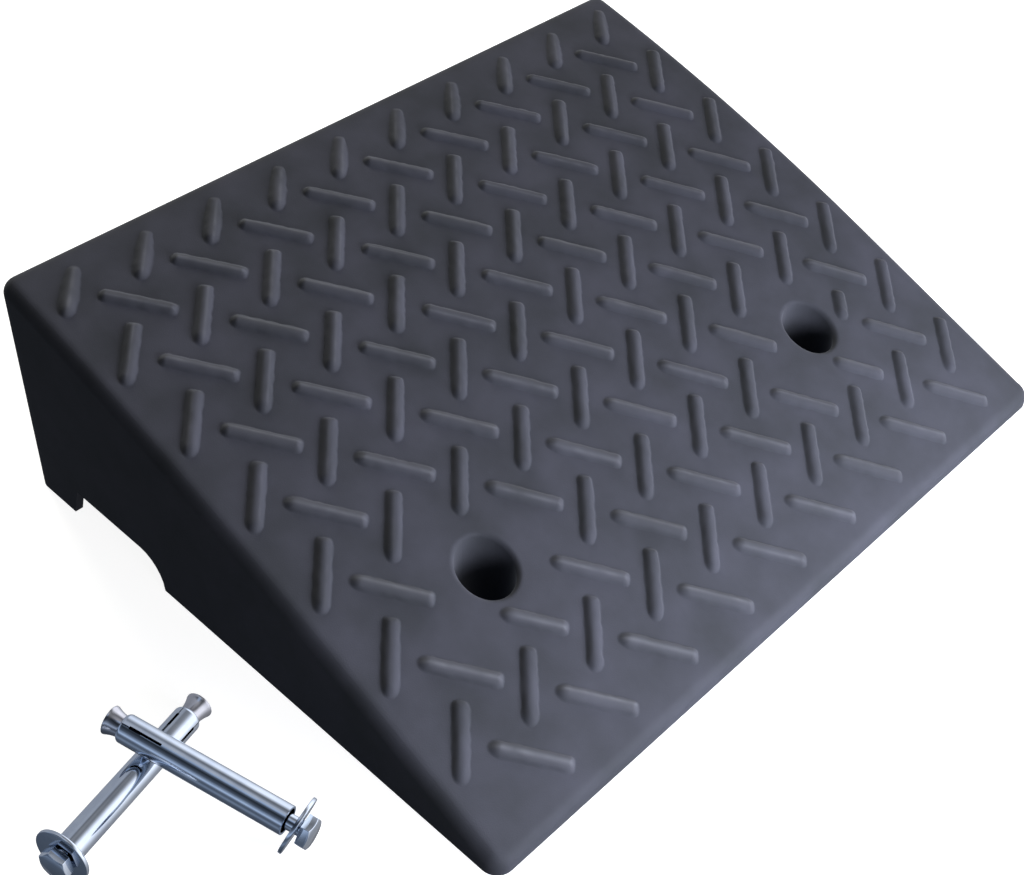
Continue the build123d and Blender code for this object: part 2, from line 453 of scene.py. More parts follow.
@dataclass
class RampShell:
    """The moulding without its bars: tread, walls, two wells, and the ribbed underside with its channel."""

    shape: TreadShape
    skin: float = 5.0
    rib: float = 4.0
    cells_across: int = 10
    cells_deep: int = 7
    nose: float = 24.0
    rear_foot: float = 39.0
    channel_width: float = 86.0
    channel_height: float = 20.0
    channel_round: float = 19.0
    channel_parts: int = 6
    step: float = 0.3
    well_spacing: float = 286.0
    well_from_front: float = 109.0
    well_radius: float = 16.5
    well_rim: float = 3.0
    post_radius: float = 20.5
    block: float = 25.0
    block_parts: int = 6
    seat: float = 10.0
    seat_round: float = 0.6
    ring_over_seat: float = 12.0
    hole_radius: float = 8.0
    hole_round: float = 0.5
    # Painted shade in the wells starts this far below the tread and deepens over this depth; the margin is
    # the tolerance at the bore's wall and the floor.
    shade_from: float = 1.0
    shade_depth: float = 14.0
    shade_margin: float = 0.1
    spacing: float = 6.0
    spacing_spare: float = 0.3
    least_gap: float = 0.05
    doubles: float = 0.02
    sharp_degrees: float = 38.0
    edge_rows: tuple[float, ...] = (0.0, 0.12, 0.5, 1.1, 1.9, 2.9, 4.0, 5.2, 6.5, 8.0, 10.0)
    rim_rows: tuple[float, ...] = (4.4, 3.3, 2.5, 1.75, 1.1, 0.6, 0.22, 0.0)
    obj: Optional[Object] = field(default=None, init=False)

    @property
    def wells(self) -> list[Pair]:
        """Plan places of the two wells."""
        y = -self.shape.depth / 2 + self.well_from_front
        return [(-self.well_spacing / 2, y), (self.well_spacing / 2, y)]

    @property
    def cells_x(self) -> list[Pair]:
        """Where each row of hollows starts and ends along the kerb."""
        start, room = -self.shape.width / 2 + self.skin, self.shape.width - 2 * self.skin
        return self._cells(start, room, self.cells_across)

    @property
    def cells_y(self) -> list[Pair]:
        """Where each row of hollows starts and ends from front to rear."""
        start, room = -self.shape.depth / 2 + self.nose, self.shape.depth - self.skin - self.nose
        return self._cells(start, room, self.cells_deep)

    def _cells(self, start: float, room: float, count: int) -> list[Pair]:
        """Start and end of each of a count of hollows, over the room from the first start to the last end."""
        size = (room - (count - 1) * self.rib) / count
        return [(start + i * (size + self.rib), start + i * (size + self.rib) + size) for i in range(count)]

    @property
    def channel_ends(self) -> Pair:
        """Where the channel starts and ends from front to rear."""
        rear_end = self.shape.depth / 2 - self.rear_foot
        return rear_end - self.channel_width, rear_end

    def channel(self, y: float) -> float:
        """Height of the underside, raised over the channel up to where its rear wall leans down.

        Args:
            y: Place from front to rear.

        Returns:
            The height.
        """
        front_end, rear_end = self.channel_ends
        if not front_end - SLACK <= y < rear_end - SLACK:
            return 0.0
        past = front_end + self.channel_round - y
        if past <= 0:
            return self.channel_height
        return self.channel_height - self.channel_round + sqrt(max(0.0, self.channel_round**2 - past**2))

    def lines(self, half: float, fixed: Iterable[float]) -> list[float]:
        """Grid lines over one direction: rows along both edges, the fixed lines, and even ones between.

        Args:
            half: Half the size in that direction.
            fixed: Lines that must be there.

        Returns:
            The lines in order.
        """
        rows = [half - row for row in self.edge_rows]
        wanted = sorted({round(v, 4) for v in (*rows, *(-row for row in rows), *fixed)})
        result = [wanted[0]]
        for line in wanted[1:]:
            start = result[-1]
            gap = line - start
            if gap < self.least_gap:
                continue
            parts = max(1, round(gap / self.spacing + self.spacing_spare))
            result.extend(start + gap * (k + 1) / parts for k in range(parts))
        return result

    def build(self) -> Object:
        """Model the shell.

        Returns:
            The finished object.
        """
        lines_x, lines_y = self._grid_lines()
        count_x, count_y = len(lines_x) - 1, len(lines_y) - 1
        grid = bpy.ops.mesh.primitive_grid_add
        self.obj = add_mesh("ramp_moulding", grid, x_subdivisions=count_x, y_subdivisions=count_y, size=2)
        for vert in self.obj.data.vertices:
            x = lines_x[round((vert.co.x + 1) / 2 * count_x)]
            y = lines_y[round((vert.co.y + 1) / 2 * count_y)]
            vert.co = Vector((*self._corner(x, y), 0.0)) * MM
        with Editing(self.obj) as edit:
            self._raise(edit)
            self._open_wells(edit)
            self._shape_layers(edit)
            for well in self.wells:
                self._line_well(edit, well)
            edit.close(self.doubles)
        soften(self.obj, self.sharp_degrees)
        return self.obj

    def _grid_lines(self) -> tuple[list[float], list[float]]:
        """Lines of the layout along and across the ramp.

        Returns:
            The lines of X and those of Y, in order.
        """
        fixed_x = [edge for cell in self.cells_x for edge in cell]
        fixed_y = [edge for cell in self.cells_y for edge in cell]
        parts = range(-self.block_parts, self.block_parts + 1)
        for well_x, well_y in self.wells:
            fixed_x += [well_x + self.block * k / self.block_parts for k in parts]
            fixed_y += [well_y + self.block * k / self.block_parts for k in parts]
        front_end, rear_end = self.channel_ends
        fixed_y += [front_end - self.step, rear_end + self.step, front_end, rear_end]
        round_middle = front_end + self.channel_round
        for k in range(1, self.channel_parts + 1):
            fixed_y.append(round_middle - self.channel_round * cos(radians(90 * k / self.channel_parts)))
        return self.lines(self.shape.width / 2, fixed_x), self.lines(self.shape.depth / 2, fixed_y)

    def _corner(self, x: float, y: float) -> Pair:
        """Move a grid point into the rounded corner of the plan.

        Args:
            x: Place along the kerb on the square grid.
            y: Place from front to rear on the square grid.

        Returns:
            The place in the rounded plan.
        """
        radius = self.shape.corner
        start_x, start_y = self.shape.width / 2 - radius, self.shape.depth / 2 - radius
        over_x, over_y = abs(x) - start_x, abs(y) - start_y
        if over_x <= 0 or over_y <= 0:
            return x, y
        near_x = over_x * sqrt(1 - over_y**2 / (2 * radius**2))
        near_y = over_y * sqrt(1 - over_x**2 / (2 * radius**2))
        return copysign(start_x + near_x, x), copysign(start_y + near_y, y)

    def _in_block(self, place: Vector) -> bool:
        """Whether a place in metres lies in the square round a well, seen from above."""
        x, y = place.x / MM, place.y / MM
        return any(max(abs(x - a), abs(y - b)) < self.block + SLACK for a, b in self.wells)

    def _raise(self, edit: Editing) -> None:
        """Give the flat grid its top and walls, and press the hollows into it from below.

        Args:
            edit: The edit session.
        """
        bpy.ops.mesh.select_all(action="SELECT")
        bpy.ops.mesh.extrude_region_move(TRANSFORM_OT_translate={"value": (0, 0, Level.TOP.value * MM)})

        def in_cell(face: BMFace) -> bool:
            """Whether a face of the underside closes a hollow.

            Args:
                face: A face of the mesh.

            Returns:
                True where a hollow is drawn up from it.
            """
            centre = face.calc_center_median()
            if centre.z > SLACK * MM or self._in_block(centre):
                return False
            x, y = centre.x / MM, centre.y / MM
            return any(a < x < b for a, b in self.cells_x) and any(a < y < b for a, b in self.cells_y)

        edit.pick_faces(in_cell)
        bpy.ops.mesh.extrude_region_move(TRANSFORM_OT_translate={"value": (0, 0, Level.CEILING.value * MM)})

    def _open_wells(self, edit: Editing) -> None:
        """Take the square round each well out of the top and the bottom.

        Args:
            edit: The edit session.
        """

        def in_well(face: BMFace) -> bool:
            """Whether a face lies flat in the square round a well.

            Args:
                face: A face of the mesh.

            Returns:
                True where it is taken out.
            """
            centre = face.calc_center_median()
            level = any(abs(centre.z / MM - height) < SLACK for height in (0.0, Level.TOP.value))
            return level and self._in_block(centre)

        edit.pick_faces(in_well)
        bpy.ops.mesh.delete(type="FACE")

    def _shape_layers(self, edit: Editing) -> None:
        """Move the flat layers to the tread, the ceilings of the hollows and the underside.

        Args:
            edit: The edit session.
        """
        drop = self.skin / cos(self.shape.slope)
        for vert in edit.mesh.verts:
            x, y, level = vert.co / MM
            if level > (Level.TOP.value + Level.CEILING.value) / 2:
                vert.co.z = self.shape.top(x, y) * MM
                continue
            if level > Level.CEILING.value / 2:
                vert.co.z = (self.shape.tread(y)[0] - drop) * MM
            else:
                vert.co.z = self.channel(y) * MM
            for well_x, well_y in self.wells:
                away_x, away_y = x - well_x, y - well_y
                if abs(max(abs(away_x), abs(away_y)) - self.block) < SLACK:
                    scale = self.post_radius / hypot(away_x, away_y)
                    vert.co.x = (well_x + away_x * scale) * MM
                    vert.co.y = (well_y + away_y * scale) * MM
        edit.write()

    def _line_well(self, edit: Editing, well: Pair) -> None:
        """Draw the rounded rim, bore, seat and hole of a well down to the underside.

        Args:
            edit: The edit session.
            well: Its plan place.
        """
        well_x, well_y = well

        def draw(radius: float, height: Callable[[float, float], float]) -> None:
            """Extrude the picked ring to a radius, and to a height that depends on the place.

            Args:
                radius: Radius of the new ring.
                height: Gives the height at a plan place.
            """

            def place(co: Vector) -> Vector:
                """The new place of one vertex of the ring.

                Args:
                    co: Where the vertex is, in metres.

                Returns:
                    Where it goes, in metres.
                """
                angle = atan2(co.y / MM - well_y, co.x / MM - well_x)
                x, y = well_x + radius * cos(angle), well_y + radius * sin(angle)
                return Vector((x, y, height(x, y))) * MM

            bpy.ops.mesh.extrude_edges_move()
            edit.place_picked(place)

        def rim(x: float, y: float) -> float:
            """Height of the rounded rim.

            Args:
                x: Place along the kerb.
                y: Place from front to rear.

            Returns:
                The height.
            """
            reach = hypot(x - well_x, y - well_y)
            out = ((well_x - x) / reach, (well_y - y) / reach)
            return self.shape.rounded(y, reach - self.well_radius, out, self.well_rim)

        def on_post(co: Vector) -> bool:
            """Whether a vertex is on the open ring round the post below."""
            reach = hypot(co.x / MM - well_x, co.y / MM - well_y)
            return self.hole_radius + SLACK < reach < self.block and abs(co.z) < SLACK * MM

        edit.pick_rim(lambda co: abs(co.x / MM - well_x) < self.block + SLACK and co.z > SLACK * MM)
        for row in self.rim_rows:
            draw(self.well_radius + row, rim)
        rings = (
            (self.well_radius, self.seat + self.ring_over_seat),
            (self.well_radius, self.seat + self.seat_round),
            (self.well_radius - self.seat_round, self.seat),
            (self.hole_radius + self.hole_round, self.seat),
            (self.hole_radius, self.seat - self.hole_round),
            (self.hole_radius, 0.0),
        )
        for radius, height in rings:
            draw(radius, lambda x, y, z=height: z)
        edit.pick_rim(on_post)
        draw(self.hole_radius, lambda x, y: 0.0)

    def paint_well_shade(self) -> None:
        """Mark the wells' insides for painted shade, more strongly towards the floor."""
        inside = self.obj.data.attributes.new("inside", "FLOAT", "POINT")
        for vert in self.obj.data.vertices:
            x, y, z = vert.co / MM
            reach = min(hypot(x - well_x, y - well_y) for well_x, well_y in self.wells)
            if reach < self.well_radius + self.shade_margin and z > self.shade_margin:
                # Painted shade: darker the deeper the place lies below the tread.
                share = (self.shape.tread(y)[0] - z - self.shade_from) / self.shade_depth
                inside.data[vert.index].value = min(1.0, max(0.0, share))


@dataclass(frozen=True)
class Bar:
    """Where a bar lies: its middle, its angle from straight up the slope, and its ends along its own line."""

    x: float
    s: float
    turn: float
    low: float
    high: float
    rear: bool

    @property
    def rising(self) -> bool:
        """Whether the bar belongs to the family that rises to the right."""
        return self.turn > 0

    @property
    def along(self) -> Pair:
        """Direction of its line along the kerb and up the slope."""
        return sin(radians(self.turn)), cos(radians(self.turn))


@dataclass
class TreadBars:
    """The raised bars: two families that cross like stitches on the slope and are cut back at the wells."""

    shape: TreadShape
    shell: RampShell
    columns: int = 10
    rows: int = 7
    column_pitch: float = 48.3
    row_pitch: float = 53.1
    first_row: float = 30.1
    rising_length: float = 44.0
    falling_length: float = 46.5
    rear_length: float = 36.0
    width: float = 10.6
    height: float = 3.0
    rising_angle: float = 42.0
    falling_angle: float = -41.0
    to_well: float = 7.0
    least: float = 24.0
    root: float = 0.6
    sunk: float = 0.03
    straight_parts: int = 12
    end_parts: int = 8
    steps: tuple[float, ...] = (0.0, 0.45, 0.8, 1.15, 1.6, 2.05, 2.6, 3.2, 3.8, 4.5, 5.3)
    foot: float = 1.2
    flank: float = 1.4
    shoulder: float = 5.0
    crown: float = 0.03
    square_end: float = 3.2
    round_end: float = 2.1
    round_stretch: float = 1.5
    blunt_from: float = 200.0
    blunt_cut: float = 1.5
    rear_swell: float = 1.12
    rear_widest: float = 0.4
    rear_narrowing: float = 1.3
    rear_sinking: float = 0.65
    rear_ahead: float = 3.0
    unevenness: float = 0.65
    uneven_height: float = 0.07
    uneven_waves: Pair = (0.27, 1.5)
    noise_room: Pair = (0.0, 100.0)
    streak_across: Pair = (-1.6, 2.0)
    streak_width: Pair = (0.7, 1.3)
    streak_mean: float = 0.7
    streak_swing: float = 0.6
    streak_waves: float = 0.15
    tallness: Pair = (0.9, 0.97)
    # Lightening of the bar tops, partly wear and partly painted light: little on rising bars but growing
    # towards the rear, much on falling bars, fading to the right, partly even and partly in a streak.
    rising_wear_and_light: float = 0.05
    rising_wear_and_light_run: float = 400.0
    falling_wear_and_light: float = 0.85
    wear_and_light_fade: float = 0.35
    wear_and_light_even: float = 0.4
    wear_and_light_streak: float = 0.9
    doubles: float = 0.01
    seed: int = 11

    @property
    def around(self) -> int:
        """Points in a bar's outline."""
        return 2 * (self.straight_parts + self.end_parts)

    def rise(self, inset: float) -> float:
        """Height of a bar's rounded flank.

        Args:
            inset: Distance in from the bar's outline.

        Returns:
            The height over the tread.
        """
        half = self.width / 2
        top = self.height - self.crown
        steep = top / ((self.flank - self.foot / 2) + (self.shoulder - self.flank) / 2)
        if inset < self.foot:
            return steep * inset**2 / (2 * self.foot)
        if inset < self.flank:
            return steep * (inset - self.foot / 2)
        if inset < self.shoulder:
            return top - steep * (self.shoulder - inset)**2 / (2 * (self.shoulder - self.flank))
        return self.height - self.crown * ((half - inset) / (half - self.shoulder))**2

    def bar(self, x: float, s: float, turn: float, length: float) -> Optional[Bar]:
        """Cut a bar back beside the wells.

        Args:
            x: Place of the whole bar's middle along the kerb.
            s: Its length up the tread.
            turn: Its angle from straight up the slope.
            length: Its whole length.

        Returns:
            The bar, or None if too little of it is left.
        """
        low, high = -length / 2, length / 2
        along_x, along_s = sin(radians(turn)), cos(radians(turn))
        clear = self.shell.well_radius + self.shell.well_rim + self.to_well
        for well_x, _ in self.shell.wells:
            gap_x = x - well_x
            gap_s = s - self.shell.well_from_front / cos(self.shape.slope)
            nearest = -(gap_x * along_x + gap_s * along_s)
            miss = hypot(gap_x, gap_s)**2 - nearest**2
            if miss < clear**2:
                reach = sqrt(clear**2 - miss)
                if nearest < 0:
                    low = max(low, nearest + reach)
                else:
                    high = min(high, nearest - reach)
        return Bar(x, s, turn, low, high, length == self.rear_length) if high - low >= self.least else None

    def bars(self) -> list[Bar]:
        """All the bars, from the rear row to the front one.

        Returns:
            The bars that are long enough to keep.
        """
        last = (self.columns - 1) / 2
        found = []
        for row in range(self.rows):
            upper = self.first_row + (self.rows - row - 0.5) * self.row_pitch
            lower = self.first_row + (self.rows - row - 1) * self.row_pitch
            length = self.rear_length if row == 0 else self.rising_length
            for column in range(self.columns):
                found.append(self.bar((column - last) * self.column_pitch, upper, self.rising_angle, length))
            for column in range(self.columns - 1):
                x = (column + 0.5 - last) * self.column_pitch
                found.append(self.bar(x, lower, self.falling_angle, self.falling_length))
        return [bar for bar in found if bar]

    def build(self) -> list[Object]:
        """Model all the bars.

        Returns:
            One object for each bar.
        """
        template = self._template()
        chance = random.Random(self.seed)
        placed = [self._place(template, bar, chance) for bar in self.bars()]
        bpy.data.objects.remove(template)
        return placed

    def _outline(self, part: int) -> tuple[float, float, float]:
        """A point of the bar's outline.

        Args:
            part: Which point, counted round the outline.

        Returns:
            How far along the straight part (-1 to 1), the offset from it along the bar, and across it.
        """
        half = self.width / 2
        part %= self.around
        if part < self.straight_parts:
            return 1 - 2 * part / self.straight_parts, 0.0, half
        part -= self.straight_parts
        if part < self.end_parts:
            along, across = self._cap(pi / 2 + pi * part / self.end_parts, half, self.round_end)
            return -1.0, along * self.round_stretch, across
        part -= self.end_parts
        if part < self.straight_parts:
            return -1 + 2 * part / self.straight_parts, 0.0, -half
        angle = -pi / 2 + pi * (part - self.straight_parts) / self.end_parts
        return 1.0, *self._cap(angle, half, self.square_end)

    def _cap(self, angle: float, half: float, squareness: float) -> Pair:
        """A point of a bar's end.

        Args:
            angle: Where round the end.
            half: Half of the bar's width.
            squareness: 2 for a round end, more for a squarer one.

        Returns:
            The offset along the bar and across it.
        """
        power = 2 / squareness
        along, across = cos(angle), sin(angle)
        return half * copysign(abs(along)**power, along), half * copysign(abs(across)**power, across)

    def _template(self) -> Object:
        """One flat bar: X is the share along its straight part, its end attribute the offset beyond that.

        Returns:
            The bar's mesh, which every bar of the tread starts from.
        """
        circle = bpy.ops.mesh.primitive_circle_add
        bar = add_mesh("bar", circle, vertices=self.around, radius=1, fill_type="NGON")
        ends = bar.data.attributes.new("end", "FLOAT", "POINT").data
        for vert in bar.data.vertices:
            part = round(atan2(vert.co.y, vert.co.x) / (2 * pi) * self.around)
            share, ends[vert.index].value, across = self._outline(part)
            vert.co = (share, across, -self.root)
        with Editing(bar) as edit:
            bpy.ops.mesh.select_all(action="SELECT")
            before = 0.0
            for inset in self.steps:
                bpy.ops.mesh.extrude_region_move()
                self._ring(edit, before, inset)
                before = inset
        return bar

    def _ring(self, edit: Editing, before: float, inset: float) -> None:
        """Draw the picked ring in by an inset and lift it to the flank's height.

        Args:
            edit: The edit session.
            before: Inset of the ring below it.
            inset: Distance in from the outline.
        """
        layer = edit.mesh.verts.layers.float["end"]
        scale = (self.width / 2 - inset) / (self.width / 2 - before)
        for vert in edit.mesh.verts:
            if vert.select:
                vert[layer] *= scale
                vert.co.y *= scale
                vert.co.z = self.rise(inset) - self.sunk
        edit.write()

    def _place(self, template: Object, bar: Bar, chance: random.Random) -> Object:
        """Lay a copy of the flat bar on the tread, uneven, with its top marked to be lightened partly by wear
        and partly as painted light.

        Falling bars lie the other way round, and those high on the tread have a blunter end. Bars of the rear
        row narrow and sink towards the rear.

        Args:
            template: The flat bar.
            bar: Where it lies.
            chance: Seeded source of the small differences between bars.

        Returns:
            The placed bar.
        """
        obj = template.copy()
        obj.data = template.data.copy()
        bpy.context.scene.collection.objects.link(obj)
        ends = obj.data.attributes["end"].data
        wear_and_light = obj.data.attributes.new("wear_and_light", "FLOAT", "POINT")
        facing = 1 if bar.rising else -1
        blunt = not bar.rising and bar.s > self.blunt_from
        stretch = 1.0 if blunt else self.round_stretch
        low = bar.low - (self.rear_ahead if bar.rear else 0.0)
        high = bar.high - (self.blunt_cut if blunt else 0.0)
        half = (high - low - self.width * (1 + stretch) / 2) / 2
        middle = (low + high) / 2 + facing * self.width * (stretch - 1) / 4
        along_x, along_s = bar.along
        limits = (self.noise_room, self.streak_across, self.streak_width, self.tallness)
        place, streak_at, streak_wide, tall = (chance.uniform(*limit) for limit in limits)
        # Lightening of the top, partly wear and partly painted light that differs by the bar's family and
        # place.
        lit_and_worn = self.rising_wear_and_light + (bar.s / self.rising_wear_and_light_run)**2 if bar.rising else self.falling_wear_and_light
        lit_and_worn *= 1 - self.wear_and_light_fade * bar.x / (self.shape.width / 2)
        for vert in obj.data.vertices:
            end = ends[vert.index].value
            end *= stretch / self.round_stretch if end < 0 else 1.0
            along = middle + facing * (vert.co.x * half + end)
            narrow, lift = 1.0, tall if vert.co.z > 0 else 1.0
            if bar.rear:
                share = min(1.0, max(0.0, (along - low) / (high - low)))
                narrow = self.rear_swell - self.rear_narrowing * (share - self.rear_widest)**2
                lift *= 1 - self.rear_sinking * share**2 if vert.co.z > 0 else 1.0
            side = facing * vert.co.y / (self.width / 2)
            ragged = noise.noise(Vector((along * self.uneven_waves[0], place, side * self.uneven_waves[1])))
            across = side * (self.width / 2 * narrow + self.unevenness * ragged)
            up = vert.co.z * lift * (1 + self.uneven_height * ragged)
            # A lighter streak along the bar: partly wear, partly a painted highlight.
            streak = exp(-((across - streak_at) / streak_wide)**2)
            patches = noise.noise(Vector((along * self.streak_waves, 0, place)))
            streak *= self.streak_mean + self.streak_swing * patches
            shown = self.wear_and_light_even + self.wear_and_light_streak * streak
            wear_and_light.data[vert.index].value = lit_and_worn * max(0.0, up / self.height) * shown
            x = bar.x + along * along_x + across * along_s
            y, z, angle = self.shape.place_up(bar.s + along * along_s - across * along_x)
            vert.co = Vector((x, y - up * sin(angle), z + up * cos(angle))) * MM
        obj.data.attributes.remove(obj.data.attributes["end"])
        with Editing(obj) as edit:
            edit.close(self.doubles)
        return obj


@dataclass
class Ramp:
    """The whole moulding."""

    shape: TreadShape
    finish: Finish

    def build(self) -> Object:
        """Model the shell and its bars as one piece.

        Returns:
            The finished object.
        """
        shell = RampShell(self.shape)
        moulding = shell.build()
        shell.paint_well_shade()
        bars = TreadBars(self.shape, shell).build()
        join(moulding, bars)
        soften(moulding, shell.sharp_degrees)
        log.info("%s: %d bars, %d faces", moulding.name, len(bars), len(moulding.data.polygons))
        return moulding

    def dress(self, obj: Object) -> None:
        """Give the moulding its finish and its place in the frame.

        The plated anchors mirror the pale studio and not the dark moulding beside them.

        Args:
            obj: The moulding.
        """
        obj.data.materials.clear()
        obj.data.materials.append(self.finish.make())
        obj.visible_glossy = False
        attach(obj, "ramp")
        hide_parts("ramp")


@dataclass
class SleeveAnchor:
    """One sleeve anchor, modelled along its axis from the head's bearing face and then laid in its place."""

    which: str
    head_to_washer: float
    washer_to_sleeve: float
    nut_showing: float
    lean: float
    slit_turn: float
    head_turn: float
    sleeve_radius: float = 7.5
    sleeve_wall: float = 1.3
    sleeve_length: float = 94.5
    sleeve_edge: float = 0.2
    slit_count: int = 4
    slit_length: float = 24.0
    slit_width: float = 1.6
    slit_mouth_length: float = 5.5
    slit_mouth_width: float = 0.5
    slit_overlap: float = 0.5
    slit_beyond: float = 1.0
    mouth_round_length: float = 2.0
    mouth_round_depth: float = 1.0
    mouth_round_parts: int = 8
    mouth_radius: float = 6.05
    mouth_chamfer: float = 0.25
    mouth_turn_in: float = 4.0
    shank_radius: float = 4.0
    shank_chamfer: float = 0.8
    shank_ring: float = 2.0
    bolt_length: float = 106.5
    across_flats: float = 15.0
    head_sides: int = 6
    head_height: float = 5.5
    head_chamfer: float = 0.9
    head_clearance: Pair = (0.02, 0.6)
    head_edge: float = 0.22
    head_edge_parts: int = 3
    into_head: float = 1.0
    into_sleeve: float = 1.0
    washer_radius: float = 14.98
    washer_thickness: float = 2.0
    washer_hole: float = 5.3
    washer_edge: float = 0.25
    seat_gap: float = 0.3
    neck_radius: float = 5.65
    neck_length: float = 9.0
    neck_edge: float = 0.2
    flare_length: float = 8.5
    flare_parts: int = 12
    flare_lead: float = 0.6
    flare_rim: float = 1.0
    rim_edge: float = 0.25
    rim_ease: tuple[float, float, float] = (0.04, 0.05, 0.12)
    thread_radius: float = 4.05
    thread_chamfer: float = 0.6
    round_steps: int = 96
    doubles: float = 0.005
    sharp_turned: float = 35.0
    sharp_cut: float = 32.0

    @property
    def sleeve_start(self) -> float:
        """Place of the sleeve's near end along the axis."""
        return self.head_to_washer + self.washer_thickness + self.washer_to_sleeve

    @property
    def sleeve_end(self) -> float:
        """Place of the sleeve's mouth along the axis."""
        return self.sleeve_start + self.sleeve_length

    def axes(self) -> Matrix:
        """Place of the anchor: its Z along the bolt from the head's bearing face, its X upward.

        Returns:
            The matrix from the anchor's own axes to the scene.
        """
        joint = next(j for j in frame["joints"] if j["name"] == f"{self.which}_bolt_turn")
        along = Vector(joint["axis"]).normalized()
        upward = (Vector((0, 0, 1)) - along * along.z).normalized()
        sideways = along.cross(upward)
        matrix = Matrix((upward, sideways, along)).transposed().to_4x4()
        matrix.translation = Vector(joint["pos_m"])
        return matrix

    def spun(self, name: str, outline: list[Pair]) -> Object:
        """Turn a closed outline about the axis.

        Args:
            name: Name of the new object.
            outline: Radius and place along the axis of each corner.

        Returns:
            The new object, still along Z and in metres.
        """
        circle = bpy.ops.mesh.primitive_circle_add
        obj = add_mesh(name, circle, vertices=len(outline), radius=1, fill_type="NOTHING")
        order = sorted(obj.data.vertices, key=lambda v: atan2(v.co.y, v.co.x) % (2 * pi))
        for vert, (radius, along) in zip(order, outline):
            vert.co = Vector((radius, 0, along)) * MM
        with Editing(obj) as edit:
            bpy.ops.mesh.select_all(action="SELECT")
            bpy.ops.mesh.spin(steps=self.round_steps, angle=2 * pi, center=(0, 0, 0), axis=(0, 0, 1))
            edit.close(self.doubles)
        return obj

    def lay(self, obj: Object, degrees: float, on_axis: Optional[Matrix] = None) -> Object:
        """Write a piece's place into its mesh and shade it.

        Args:
            obj: The piece, modelled along Z.
            degrees: Edges sharper than this stay sharp.
            on_axis: How it sits on the anchor's axis, if not as modelled.

        Returns:
            The piece.
        """
        obj.data.transform(self.axes() @ on_axis if on_axis else self.axes())
        obj.matrix_world = Matrix.Identity(4)
        soften(obj, degrees)
        return obj

    def paint_inside_shade(self, obj: Object, low: float, high: float, radius: float) -> None:
        """Mark what lies inside the sleeve, to be painted near black as shade.

        Args:
            obj: The piece, still along Z.
            low: Where the inside starts along the axis.
            high: Where it ends.
            radius: Its radius.
        """
        inside = obj.data.attributes.new("inside", "FLOAT", "POINT")
        for vert in obj.data.vertices:
            along, out = vert.co.z / MM, hypot(vert.co.x, vert.co.y) / MM
            # 1 marks painted shade inside the sleeve; the finish turns these places near black.
            inside.data[vert.index].value = 1.0 if low < along < high and out < radius else 0.0

    def build_washer(self) -> Object:
        """Model the washer with its punched edges.

        Returns:
            The washer.
        """
        half, edge = self.washer_thickness / 2, self.washer_edge
        hole, rim = self.washer_hole, self.washer_radius
        outline = [
            (hole + edge, -half), (hole, edge - half), (hole, half - 0.6 * edge), (hole + 0.6 * edge, half),
            (rim - 2 * edge, half), (rim - 0.6 * edge, half - 0.4 * edge), (rim, half - 1.6 * edge),
            (rim, 1.6 * edge - half), (rim - 0.6 * edge, 0.4 * edge - half), (rim - 2 * edge, -half),
        ]
        lean = radians(self.lean)
        offset = hole * cos(lean) - half * sin(lean) - self.shank_radius - self.seat_gap
        shift = Matrix.Translation(Vector((offset, 0, self.head_to_washer + half)) * MM)
        washer = self.spun(f"{self.which}_washer", outline)
        return self.lay(washer, self.sharp_turned, shift @ Matrix.Rotation(lean, 4, "Y"))

    def build_nut(self) -> Object:
        """Model the cone nut: a neck that flares like a trumpet.

        Returns:
            The nut.
        """
        neck, outer, bore = self.neck_radius, self.sleeve_radius, self.thread_radius
        ease_in, ease_before, ease_after = self.rim_ease
        end = self.sleeve_end + self.nut_showing
        flare_end = end - self.flare_rim
        flare_start = flare_end - self.flare_length
        neck_start = flare_start - self.neck_length
        sweep = (self.flare_length**2 + (outer - neck)**2) / (2 * (outer - neck))
        flare = []
        for k in range(1, self.flare_parts):
            place = self.flare_length * k / self.flare_parts
            flare.append((neck + sweep - sqrt(sweep**2 - place**2), flare_start + place))
        outline = [
            (neck - self.neck_edge, neck_start), (neck, neck_start + self.neck_edge),
            (neck, flare_start - self.flare_lead), (neck, flare_start), *flare,
            (outer - ease_in, flare_end - ease_before), (outer, flare_end + ease_after),
            (outer, end - self.rim_edge), (outer - self.rim_edge, end),
            (bore + self.thread_chamfer, end), (bore, end - self.thread_chamfer), (bore, neck_start),
        ]
        nut = self.spun(f"{self.which}_nut", outline)
        self.paint_inside_shade(nut, 0.0, flare_start - self.flare_lead / 2, outer)
        return self.lay(nut, self.sharp_turned)

    def build_sleeve(self) -> Object:
        """Model the tube, turn its mouth in, and slit it into fingers.

        Returns:
            The sleeve.
        """
        start, end = self.sleeve_start, self.sleeve_end
        outer, bore, edge = self.sleeve_radius, self.sleeve_radius - self.sleeve_wall, self.sleeve_edge
        length, depth = self.mouth_round_length, self.mouth_round_depth
        sweep = (length**2 + depth**2) / (2 * depth)
        nose = []
        for k in range(self.mouth_round_parts + 1):
            along = length * k / self.mouth_round_parts
            nose.append((outer - sweep + sqrt(sweep**2 - along**2), end - length + along))
        outline = [
            (outer - edge, start), (outer, start + edge), *nose,
            (self.mouth_radius + self.mouth_chamfer, end), (self.mouth_radius, end - self.mouth_chamfer),
            (bore, end - self.mouth_turn_in), (bore, start + edge), (bore + edge, start),
        ]
        sleeve = self.spun(f"{self.which}_sleeve", outline)
        mouth = end - self.slit_mouth_length
        wide = (end - self.slit_length, mouth, self.slit_width)
        narrow = (mouth - self.slit_overlap, end + self.slit_beyond, self.slit_mouth_width)
        for k in range(self.slit_count):
            turn = radians(self.slit_turn) + 2 * pi * k / self.slit_count
            for low, high, width in (wide, narrow):
                self._slit(sleeve, turn, low, high, width)
        self.paint_inside_shade(sleeve, start + edge / 2, end - edge / 2, bore + edge / 4)
        return self.lay(sleeve, self.sharp_cut)

